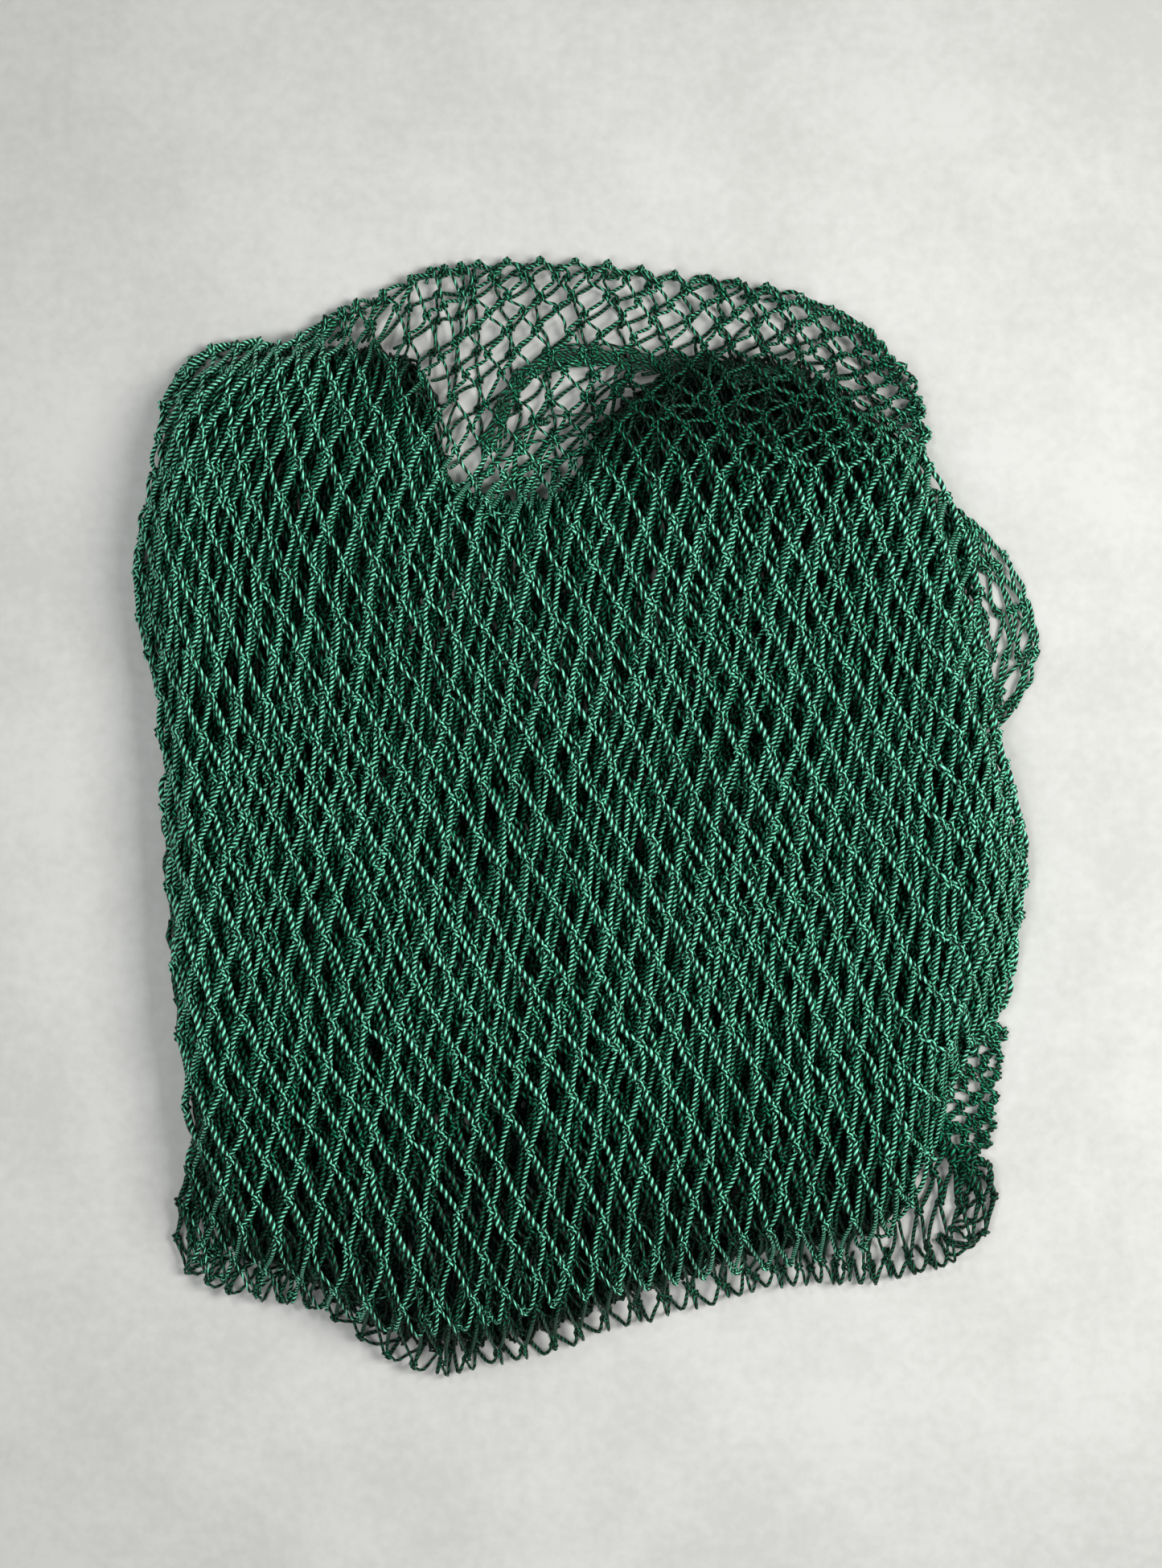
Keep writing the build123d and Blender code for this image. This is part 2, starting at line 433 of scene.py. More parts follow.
@dataclass
class NetLayer:
    """One layer of netting.

    Args:
        name: Name of its pieces.
        outline: The line at which it turns under.
        guide: The line that its rows of knots follow at the bottom and at the rim.
        weave: How its meshes lie.
        stands_for: CAD nodes that it replaces.
        fold: Radius of the turn at its edge.
        tuck: How much of it runs back under, past the turn.
        grade: How finely its twines are modelled.
        depth: How deep in the bundle it lies, which sets the painted shade on its twine.
        twine: Its twine and knot.
        opening: How wide its meshes are when it is laid out flat, as a share of their mean width.
    """

    name: str
    outline: Outline
    guide: Outline
    weave: Weave
    stands_for: tuple[str, ...]
    fold: float = 0.8
    tuck: float = 9.0
    grade: Grade = Grade.PLAIN
    depth: Depth = Depth.INNER
    twine: Twine = field(default_factory=Twine)
    opening: float = 0.72
    knot_turn = 0.2

    def row_height(self, in_flap: bool) -> float:
        """Height of one row of meshes as they lie."""
        return self.weave.row_height(in_flap)

    def place(self, column: Points, row: Points) -> Points:
        """Where a point of the weave lies on the plane, before the layer turns under.

        Args:
            column: Meshes from the middle column.
            row: Rows of knots down from the hinge line.

        Returns:
            Points, with a last axis of two.
        """
        weave = self.weave
        inner = column * weave.mesh_width
        side = HALF_WIDTH * 0.97
        spread = inner * (1 + weave.crowd) - 2.2 * weave.crowd * inner**3 / (3 * side**2)
        lean = weave.drift * (1 - (np.clip(inner, -side, side) / (1.1 * side)) ** 2)
        y = HINGE_Y - row * weave.row_height()
        for _ in range(3):
            down = np.maximum(HINGE_Y - y, 0.0)
            up = np.maximum(y - HINGE_Y, 0.0)
            x = spread * (1 - 0.0006 * down) + lean * down + weave.shift + weave.flap_drift * up
            x = x + 0.008 * up**2 * smooth_step((-x - 40.0) / 40.0) * smooth_step(up / 30.0)
            y = self.row_level(x, row)
        flat = np.stack([x, y], -1)
        ripple = stray(flat, weave.seed + 11, weave.wobble, 60.0)
        if weave.tangle:
            aside, above = (x - TANGLE_X) / TANGLE_WIDTH, (y - TANGLE_Y) / TANGLE_HEIGHT
            near = np.exp(-(aside**2) - above**2)[..., None]
            ripple = ripple + near * stray(flat, weave.seed + 13, weave.tangle, 15.0)
        return flat + ripple

    def row_level(self, x: Points, row: Points) -> Points:
        """How far up the page a row lies, shared out between the hinge line and the edge.

        Args:
            x: Places across.
            row: Rows of knots down from the hinge line.

        Returns:
            A place along for each.
        """
        weave = self.weave
        row = row + weave.row_shift
        within = np.clip(x, -0.86 * HALF_WIDTH, 0.80 * HALF_WIDTH)
        bottom = self.guide.edge_y(within, top=False)
        level = HINGE_Y - row / (weave.rows_down - 0.2) * (HINGE_Y - bottom)
        if weave.rows_up:
            above = np.clip(x, -0.62 * HALF_WIDTH, 0.62 * HALF_WIDTH)
            rim = self.guide.edge_y(above, top=True)
            share = -row / weave.rows_up
            slack = smooth_step((-x - 20.0) / 20.0)
            close = weave.close + (0.5 - weave.close) * slack
            climb = share * (1 + close * (1 - share)) * (rim - HINGE_Y) * (1 + 0.35 * slack)
            level = np.where(row < 0, HINGE_Y + climb, level)
        hold = 1 - smooth_step((level - HINGE_Y) / 35.0)
        hold = hold * (1 - 0.8 * smooth_step((-25.0 - level) / 65.0))
        return level + weave.rise * np.tanh((x + 18.0) / 43.0) * hold

    def lattice(self) -> tuple[Points, Points]:
        """The numbers of the rows and of the columns.

        Returns:
            Both, which reach well past the outline.
        """
        weave = self.weave
        reach = int(HALF_WIDTH * 1.28 / weave.mesh_width) + 1
        first = -(weave.rows_up + 2) if weave.rows_up else -9
        return np.arange(first, weave.rows_down + 4), np.arange(-reach, reach + 1)

    def knots(self) -> tuple[Points, Points, Points, Points]:
        """Works out the knots.

        Returns:
            Their row numbers, places, directions along the columns, and small turns.
        """
        weave = self.weave
        rng = np.random.default_rng(weave.seed)
        rows, columns = self.lattice()
        row, column = np.meshgrid(rows.astype(float), columns.astype(float), indexing="ij")
        column = column + 0.5 * (rows % 2)[:, None]
        places = self.place(column, row)
        along = unit(self.place(column, row - 0.5) - self.place(column, row + 0.5))
        places = places + rng.normal(0, weave.jitter, places.shape)
        return rows, places, along, rng.normal(0, self.knot_turn, row.shape)

    def row_twines(self) -> tuple[Points, Points, Points]:
        """Works out each row's twine, in the plane and out of it.

        Returns:
            Points with shape (rows, points, 3), the numbers of the rows, and what each point is on.
        """
        rows, places, along, turns = self.knots()
        odd = (rows[:-1] % 2)[:, None]
        upper, up_along, up_turn = places[:-1, :-1], along[:-1, :-1], turns[:-1, :-1]
        picks = np.arange(places.shape[1] - 1)[None] + odd
        line = np.arange(len(rows) - 1)[:, None]
        lower, low_along, low_turn = (a[1:][line, picks] for a in (places, along, turns))
        knot_shape = np.array(self.twine.knot)[self.grade.knot_picks]
        loop_shape = np.array(self.twine.loop)[self.grade.loop_picks]
        knot = self.tie(upper, up_along, up_turn, knot_shape)
        loop = self.tie(lower, low_along, low_turn, loop_shape)
        down = self.bar(knot[:, :, -1], loop[:, :, 0], 3)
        up = self.bar(loop[:, :-1, -1], knot[:, 1:, 0], 5)
        cells = np.concatenate([knot[:, :-1], down[:, :-1], loop[:, :-1], up], 2)
        counts = [part.shape[2] for part in (knot, down, loop, up)]
        kinds = np.tile(np.repeat([0, 1, 0, 2], counts), cells.shape[1])
        return cells.reshape(cells.shape[0], -1, 3), rows[:-1], kinds

    def tie(self, places: Points, along: Points, turns: Points, shape: Points) -> Points:
        """Sets the points of a knot or a loop at each place.

        Args:
            places: Places of the knots.
            along: Directions along the columns.
            turns: Small turns away from those.
            shape: The tie's points across, along and out of the sheet.

        Returns:
            Points with shape (rows, ties, points, 3).
        """
        cos, sin = np.cos(turns)[..., None], np.sin(turns)[..., None]
        ahead = along * cos + np.stack([-along[..., 1], along[..., 0]], -1) * sin
        across = np.stack([ahead[..., 1], -ahead[..., 0]], -1)
        flat = (places[:, :, None] + across[:, :, None] * shape[:, 0, None]
                + ahead[:, :, None] * shape[:, 1, None])
        out = np.broadcast_to(shape[:, 2, None], flat.shape[:-1] + (1,))
        return np.concatenate([flat, out], -1)

    def bar(self, start: Points, end: Points, seed: int) -> Points:
        """The points of each bar between a knot and a loop, a little bowed.

        Args:
            start: Where the bars start.
            end: Where they end.
            seed: Picks the bows.

        Returns:
            Points with shape (rows, bars, points, 3).
        """
        rng = np.random.default_rng(self.weave.seed * 31 + seed)
        count = self.grade.bar_points
        share = (np.arange(count) + 1.0) / (count + 1)
        run = end - start
        side = np.stack([-run[..., 1], run[..., 0], 0 * run[..., 0]], -1)
        arch = 4 * share * (1 - share)
        bow = rng.normal(0, self.weave.bow, run.shape[:2])[..., None, None] * arch[:, None]
        lift = rng.normal(0.0, 0.3, run.shape[:2])[..., None] * arch
        points = start[:, :, None] + share[:, None] * run[:, :, None] + bow * side[:, :, None]
        points[..., 2] += lift
        return points

    def settle(self, points: Points, radius: Points, pile: Pile) -> tuple[Points, Points]:
        """Turns the layer under at its outline and lays it on what is below.

        Args:
            points: Twine points in the plane, with their height out of the sheet.
            radius: The twine's radius at each point.
            pile: What lies below.

        Returns:
            The points in space, and how far past the outline each one was.
        """
        shape = points.shape
        flat = points.reshape(-1, 3)
        xy, out = flat[:, :2], flat[:, 2]
        radius = radius.reshape(-1)
        signed, nearest, outward = self.outline.measure(xy)
        past = signed + self.fold
        root = nearest - outward * self.fold
        angle = np.clip(past / self.fold, 0, math.pi)
        turn = math.pi * self.fold
        reach = np.where(past < turn, self.fold * np.sin(angle), turn - past)
        turned = past > 0
        seat = np.where(turned[:, None], root, xy)
        prop = 2 * self.fold * smooth_step((past + 9.0) / 9.0)
        base = np.maximum(pile.at(seat), prop) + radius
        swell = Ripple(self.weave.seed + 20, 0.22, 16.0).at(seat)
        spot = np.where(turned[:, None], root + outward * reach[:, None], xy)
        spot = spot + outward * (out * np.sin(angle) * turned)[:, None]
        z = base + swell - self.fold * (1 - np.cos(angle)) * turned + out * np.cos(angle * turned)
        z = np.maximum(z, radius * 1.16)
        return np.concatenate([spot, z[:, None]], 1).reshape(shape), past.reshape(shape[:-1])


class TubeMesh:
    """Closed tubes along many twines, made into one mesh."""

    def __init__(self, sides: int) -> None:
        """Keeps the number of sides, and how much wider so few sides must be for the same area."""
        self.sides = sides
        self.widening = 1 / math.sqrt(math.sin(2 * math.pi / sides) * sides / (2 * math.pi))

    def rings(self, paths: Points, radius: Points) -> Points:
        """Carries a ring of points along each path without twisting it.

        Args:
            paths: Shape (paths, points, 3).
            radius: Shape (paths, points).

        Returns:
            Shape (paths, points, sides, 3).
        """
        ahead = np.empty_like(paths)
        ahead[:, 1:-1] = paths[:, 2:] - paths[:, :-2]
        ahead[:, 0] = paths[:, 1] - paths[:, 0]
        ahead[:, -1] = paths[:, -1] - paths[:, -2]
        ahead = unit(ahead)
        side = np.empty_like(paths)
        current = np.tile([0.0, 0.0, 1.0], (len(paths), 1))
        for i in range(paths.shape[1]):
            current = unit(current - ahead[:, i] * (current * ahead[:, i]).sum(-1, keepdims=True))
            side[:, i] = current
        other = np.cross(ahead, side)
        angles = np.arange(self.sides) * 2 * math.pi / self.sides
        cos, sin = np.cos(angles)[:, None], np.sin(angles)[:, None]
        spokes = side[:, :, None] * cos + other[:, :, None] * sin
        return paths[:, :, None] + (self.widening * radius)[:, :, None, None] * spokes

    def build(self, name: str, paths: Points, radius: Points, twist: Points,
              keep: Points) -> bpy.types.Object:
        """Makes the mesh of every kept run of points.

        Args:
            name: The object's name.
            paths: Shape (paths, points, 3), in millimetres.
            radius: The twine's radius at each point, shape (paths, points).
            twist: Share of the tight twist at each point, shape (paths, points).
            keep: Which points are kept, shape (paths, points).

        Returns:
            The new object, whose UV map runs along the twines by their twist and round them.
        """
        sides = self.sides
        rings = self.rings(paths, radius)
        steps = np.linalg.norm(np.diff(paths, axis=1), axis=-1) * (twist[:, 1:] + twist[:, :-1]) / 2
        length = np.concatenate([np.zeros((len(paths), 1)), steps.cumsum(1)], 1)
        joined = keep[:, 1:] & keep[:, :-1]
        first = keep & ~np.pad(joined, ((0, 0), (1, 0)))
        last = keep & ~np.pad(joined, ((0, 0), (0, 1)))
        lone = first & last
        keep, first, last = keep & ~lone, first & ~lone, last & ~lone
        number = np.full(keep.shape, -1)
        number[keep] = np.arange(keep.sum())
        points = rings[keep].reshape(-1, 3) * MM
        here = number[:, :-1][joined][:, None] * sides
        ahead = number[:, 1:][joined][:, None] * sides
        k = np.arange(sides)
        nxt = (k + 1) % sides
        quads = np.stack([here + k, here + nxt, ahead + nxt, ahead + k], -1).reshape(-1, 4)
        at, to = length[:, :-1][joined], length[:, 1:][joined]
        lo = np.broadcast_to(k / sides, (len(at), sides))
        hi = lo + 1 / sides
        at, to = (np.broadcast_to(v[:, None], lo.shape) for v in (at, to))
        quad_uv = np.stack([at, lo, at, hi, to, hi, to, lo], -1).reshape(-1, 2)
        start_caps = number[first][:, None] * sides + k[::-1]
        end_caps = number[last][:, None] * sides + k
        caps = np.concatenate([start_caps, end_caps])
        cap_at = np.concatenate([length[first], length[last]])
        cap_uv = np.stack([np.repeat(cap_at, sides), np.tile(k / sides, len(caps))], -1)
        mesh = bpy.data.meshes.new(name)
        mesh.vertices.add(len(points))
        mesh.vertices.foreach_set("co", points.ravel())
        corners = np.concatenate([quads.ravel(), caps.ravel()])
        mesh.loops.add(len(corners))
        mesh.loops.foreach_set("vertex_index", corners.astype(np.int32))
        totals = np.concatenate([np.full(len(quads), 4), np.full(len(caps), sides)])
        starts = np.concatenate([[0], totals.cumsum()[:-1]])
        mesh.polygons.add(len(totals))
        mesh.polygons.foreach_set("loop_start", starts.astype(np.int32))
        mesh.polygons.foreach_set("loop_total", totals.astype(np.int32))
        mesh.polygons.foreach_set("use_smooth", np.arange(len(totals)) < len(quads))
        mesh.update(calc_edges=True)
        layer = mesh.uv_layers.new(name="twine")
        layer.data.foreach_set("uv", np.concatenate([quad_uv, cap_uv]).astype(np.float32).ravel())
        mesh.validate()
        piece = bpy.data.objects.new(name, mesh)
        bpy.context.scene.collection.objects.link(piece)
        return piece


class Shade:
    """A number that varies over a surface, whose shader maths is written as ordinary sums."""

    def __init__(self, board: "Board", socket: bpy.types.NodeSocket) -> None:
        """Wraps a socket."""
        self.board = board
        self.socket = socket

    def work(self, operation: str, *others: "Shade | float") -> "Shade":
        """Adds a Math node.

        Args:
            operation: What it works out.
            others: Its inputs after this number, which is the first.

        Returns:
            Its result.
        """
        inputs = dict(enumerate((self, *others)))
        return self.board.number("ShaderNodeMath", {"operation": operation}, inputs)

    def __add__(self, other: "Shade | float") -> "Shade":
        """Adds."""
        return self.work("ADD", other)

    def __sub__(self, other: "Shade | float") -> "Shade":
        """Takes away."""
        return self.work("SUBTRACT", other)

    def __mul__(self, other: "Shade | float") -> "Shade":
        """Multiplies."""
        return self.work("MULTIPLY", other)

    def __rsub__(self, other: float) -> "Shade":
        """Takes this number away from a plain one."""
        return self.board.number("ShaderNodeMath", {"operation": "SUBTRACT"}, {0: other, 1: self})

    __radd__ = __add__
    __rmul__ = __mul__


class Board:
    """A material's nodes."""

    def __init__(self, name: str) -> None:
        """Starts a material with only its output."""
        self.material = bpy.data.materials.new(name)
        self.material.use_nodes = True
        self.tree = self.material.node_tree
        self.tree.nodes.clear()

    def node(self, kind: str, settings: dict | None = None,
             inputs: dict | None = None) -> bpy.types.Node:
        """Adds a node.

        Args:
            kind: Its type.
            settings: Its own settings, such as an operation or a ramp's stops.
            inputs: Values or links for its sockets, by name or number.

        Returns:
            The node.
        """
        node = self.tree.nodes.new(kind)
        for key, value in (settings or {}).items():
            if key == "stops":
                ramp = node.color_ramp.elements
                while len(ramp) < len(value):
                    ramp.new(0.5)
                for element, (position, colour) in zip(ramp, value):
                    element.position, element.color = position, (*colour, 1.0)
            else:
                setattr(node, key, value)
        for key, value in (inputs or {}).items():
            socket = node.inputs[key]
            if isinstance(value, Shade):
                value = value.socket
            if isinstance(value, bpy.types.NodeSocket):
                self.tree.links.new(value, socket)
            else:
                socket.default_value = value
        return node

    def number(self, kind: str, settings: dict, inputs: dict) -> Shade:
        """Adds a node and gives its first output as a number."""
        return Shade(self, self.node(kind, settings, inputs).outputs[0])

    def noise(self, vector: bpy.types.NodeSocket, scale: float, detail: float,
              roughness: float = 0.5) -> Shade:
        """Adds a noise texture.

        Args:
            vector: Where it is read.
            scale: How fine it is.
            detail: How many finer octaves are laid over it.
            roughness: How strong those are.

        Returns:
            The noise.
        """
        return self.number("ShaderNodeTexNoise", {}, {
            "Vector": vector, "Scale": scale, "Detail": detail, "Roughness": roughness})

    def eased(self, value: Shade, low: float, high: float, first: float, last: float) -> Shade:
        """Goes smoothly from one number to another.

        Args:
            value: The value that it follows.
            low: Up to this value, the result is the first number.
            high: From this value on, the result is the last number.
            first: The first number.
            last: The last number.

        Returns:
            The result.
        """
        return self.number("ShaderNodeMapRange", {"interpolation_type": "SMOOTHSTEP"}, {
            0: value, 1: low, 2: high, 3: first, 4: last})

    def ramp(self, tone: Shade, *stops: tuple) -> bpy.types.NodeSocket:
        """Turns a number into a colour."""
        return self.node("ShaderNodeValToRGB", {"stops": stops}, {0: tone}).outputs[0]

    def spot(self) -> tuple[bpy.types.NodeSocket, Shade, Shade]:
        """Reads the place on the object.

        Returns:
            The place in metres, and how far across and along that is.
        """
        place = self.node("ShaderNodeTexCoord").outputs["Object"]
        parts = self.node("ShaderNodeSeparateXYZ", {}, {0: place}).outputs
        return place, Shade(self, parts[0]), Shade(self, parts[1])

    def finish(self, surface: bpy.types.Node) -> bpy.types.Material:
        """Links the surface to the output."""
        self.node("ShaderNodeOutputMaterial", {}, {"Surface": surface.outputs[0]})
        return self.material


@dataclass(frozen=True)
class TwineFinish:
    """Glossy dyed yarns laid up into a twine, with painted highlights on the yarns' tops and
    painted shade between them, and more painted shade in the stretched flap, over the right
    shoulder's tangle and on the deeper layers.

    Args:
        yarns: Ridges round the twine.
        ridge_gap: From one ridge to the next along the twine, in millimetres.
        groove_shade: Colour between two yarns, a painted shade.
        body: Colour of a yarn's side.
        back_highlight: Colour of a yarn's back, a painted highlight.
        crest_highlight: Colour of a yarn's top, a painted highlight.
        relief: Depth of the grooves, in metres.
        gloss: Roughness of a clean yarn top.
        metallic: How much the dye colours the shine.
        taut: Share of the tone left in the stretched flap, a painted shade.
        shade: Share of the tone left by painted shade over the tangle of the right shoulder.
    """

    yarns: int = 2
    ridge_gap: float = 0.94
    groove_shade: tuple = (0.0, 0.0020, 0.0012)
    body: tuple = (0.001, 0.074, 0.034)
    back_highlight: tuple = (0.008, 0.43, 0.215)
    crest_highlight: tuple = (0.30, 1.0, 0.70)
    relief: float = 0.00013
    gloss: float = 0.25
    metallic: float = 0.42
    taut: float = 0.66
    shade: float = 0.80

    def material(self, depth: Depth) -> bpy.types.Material:
        """Builds the material.

        Args:
            depth: How deep the layer lies.

        Returns:
            The material.
        """
        board = Board(f"green_twine_{depth.name.lower()}")
        uv = board.node("ShaderNodeUVMap", {"uv_map": "twine"})
        parts = board.node("ShaderNodeSeparateXYZ", {}, {0: uv.outputs[0]})
        along, around = Shade(board, parts.outputs[0]), Shade(board, parts.outputs[1])
        turn = around - along * (1.0 / (self.yarns * self.ridge_gap))
        ridge = (turn * (self.yarns * math.pi)).work("COSINE").work("ABSOLUTE")
        angle = turn * (2 * math.pi)
        fibre_at = board.node("ShaderNodeCombineXYZ", {}, {
            0: angle.work("COSINE") * 5.0, 1: angle.work("SINE") * 5.0, 2: along * 0.35,
        })
        fibre = board.noise(fibre_at.outputs[0], 1.6, 2.0, 0.6)
        place, x, y = board.spot()
        patch = board.noise(place, 55.0, 2.0)
        left = (-1.0 * x - LEFT_FOOT * MM).work("MAXIMUM", 0.0)
        right = (x - RIGHT_FOOT * MM).work("MAXIMUM", 0.0)
        # Painted shade: the tone is the depth's share, lower for deeper layers, and falls further
        # in the stretched flap.
        stretch = board.eased(
            y - left * LEFT_CLIMB - right * RIGHT_CLIMB, (HINGE_Y + FOOT) * MM,
            (HINGE_Y + 20.0) * MM, depth.light, depth.light * self.taut)
        lowered = board.eased(y, -0.080, -0.035, depth.low, 1.0)
        # Painted shade over the tangle of the right shoulder.
        aside, above = (x - 0.034) * (1.0 / 0.036), (y - 0.078) * (1.0 / 0.019)
        shoulder_shade = board.eased(aside * aside + above * above, 0.3, 1.5, self.shade, 1.0)
        crown = ridge.work("POWER", 2.8)
        tone = (crown * 1.35 + fibre * 0.65 - 0.42) * (patch * 0.5 + 0.75)
        tone = tone * stretch * shoulder_shade * lowered
        # Painted highlight and shade: the ridges of the twist are the twine's own, but their tone
        # runs from near-black grooves to near-white tops, as light would fall on them.
        colour = board.ramp(
            tone, (0.12, self.groove_shade), (0.46, self.body), (0.76, self.back_highlight), (1.0, self.crest_highlight))
        height = ridge + fibre * 0.5
        bump = board.node("ShaderNodeBump", {}, {
            "Height": height, "Strength": 1.0, "Distance": self.relief})
        surface = board.node("ShaderNodeBsdfPrincipled", {}, {
            "Base Color": colour,
            "Roughness": self.gloss + (1.0 - fibre) * 0.2,
            "Metallic": self.metallic,
            "Normal": bump.outputs[0],
        })
        return board.finish(surface)


@dataclass(frozen=True)
class FloorFinish:
    """A pale, faintly mottled plaster surface, with painted shade that makes it a little darker
    away from the net.

    Args:
        light: Its lighter colour.
        dark: Its darker colour.
        far: Share of the colour that is left away from the net by the painted shade.
    """

    light: tuple = (0.70, 0.695, 0.67)
    dark: tuple = (0.615, 0.61, 0.585)
    far: float = 0.84

    def material(self) -> bpy.types.Material:
        """Builds the material."""
        board = Board("pale_floor")
        place, x, y = board.spot()
        tone = board.noise(place, 22.0, 6.0, 0.7) * 0.7 + board.noise(place, 420.0, 3.0) * 0.3
        colour = board.ramp(tone, (0.41, self.dark), (0.59, self.light))
        # Painted shade: the colour falls off away from a point just right of the net's middle.
        x = x - 0.03
        floor_shade = board.eased((x * x + y * y).work("SQRT"), 0.10, 0.22, 1.0, self.far)
        faded = board.node(
            "ShaderNodeVectorMath", {"operation": "SCALE"}, {0: colour, "Scale": floor_shade})
        bump = board.node("ShaderNodeBump", {}, {
            "Height": tone, "Strength": 0.25, "Distance": 0.0004})
        surface = board.node("ShaderNodeBsdfPrincipled", {}, {
            "Base Color": faded.outputs[0], "Roughness": 0.7, "Normal": bump.outputs[0]})
        return board.finish(surface)


@dataclass(frozen=True)
class Studio:
    """The floor, the camera and the soft light.

    Args:
        view_length: Length of floor that the picture shows from top to bottom.
        centre: The middle of the picture.
        distance: From the camera to the net.
        level: Height above the floor at which the picture has that length.
        lamps: Each lamp's name, place, side, watts and colour.
    """

    view_length: float = 0.3095
    centre: tuple = (-0.0012, 0.0071)
    distance: float = 0.75
    level: float = 0.010
    lamps: tuple = (
        ("key_light", (0.52, 0.06, 0.55), 0.34, 5.2, (1.0, 0.99, 0.97)),
        ("fill_light", (-0.36, -0.34, 0.80), 0.45, 2.8, (0.97, 0.99, 1.0)),
        ("glint_light", (-0.28, 0.50, 0.72), 0.14, 1.2, (0.98, 1.0, 1.0)),
    )

    def build(self) -> None:
        """Makes them all."""
        self.floor()
        self.camera()
        for lamp in self.lamps:
            self.lamp(*lamp)
        world = bpy.data.worlds.new("soft_room")
        world.use_nodes = True
        sky = world.node_tree.nodes["Background"]
        sky.inputs["Color"].default_value = (0.92, 0.95, 1.0, 1.0)
        sky.inputs["Strength"].default_value = 0.17
        bpy.context.scene.world = world
        bpy.context.scene.view_settings.view_transform = "Standard"

    def floor(self) -> None:
        """A plane well past the picture's edges."""
        bpy.ops.object.select_all(action="DESELECT")
        bpy.ops.mesh.primitive_plane_add(size=6.0, location=(0.0, 0.0, 0.0))
        plane = bpy.context.active_object
        plane.name = "floor"
        plane.data.materials.append(FloorFinish().material())

    def camera(self) -> None:
        """A camera that looks straight down, with the flap at the top of the picture."""
        data = bpy.data.cameras.new("camera")
        data.sensor_fit = "VERTICAL"
        data.sensor_height = 36.0
        data.lens = 36.0 * self.distance / self.view_length
        camera = bpy.data.objects.new("camera", data)
        camera.location = (*self.centre, self.distance + self.level)
        bpy.context.scene.collection.objects.link(camera)
        bpy.context.scene.camera = camera

    def lamp(self, name: str, place: tuple, size: float, power: float, colour: tuple) -> None:
        """A square area light that faces the net.

        Args:
            name: Its name.
            place: Where it hangs.
            size: Length of its side.
            power: Its watts.
            colour: Its colour.
        """
        data = bpy.data.lights.new(name, "AREA")
        data.size, data.energy, data.color = size, power, colour
        lamp = bpy.data.objects.new(name, data)
        lamp.location = place
        reach = math.hypot(place[0], place[1])
        lamp.rotation_euler = (math.atan2(reach, place[2]), 0.0, math.atan2(place[0], -place[1]))
        bpy.context.scene.collection.objects.link(lamp)


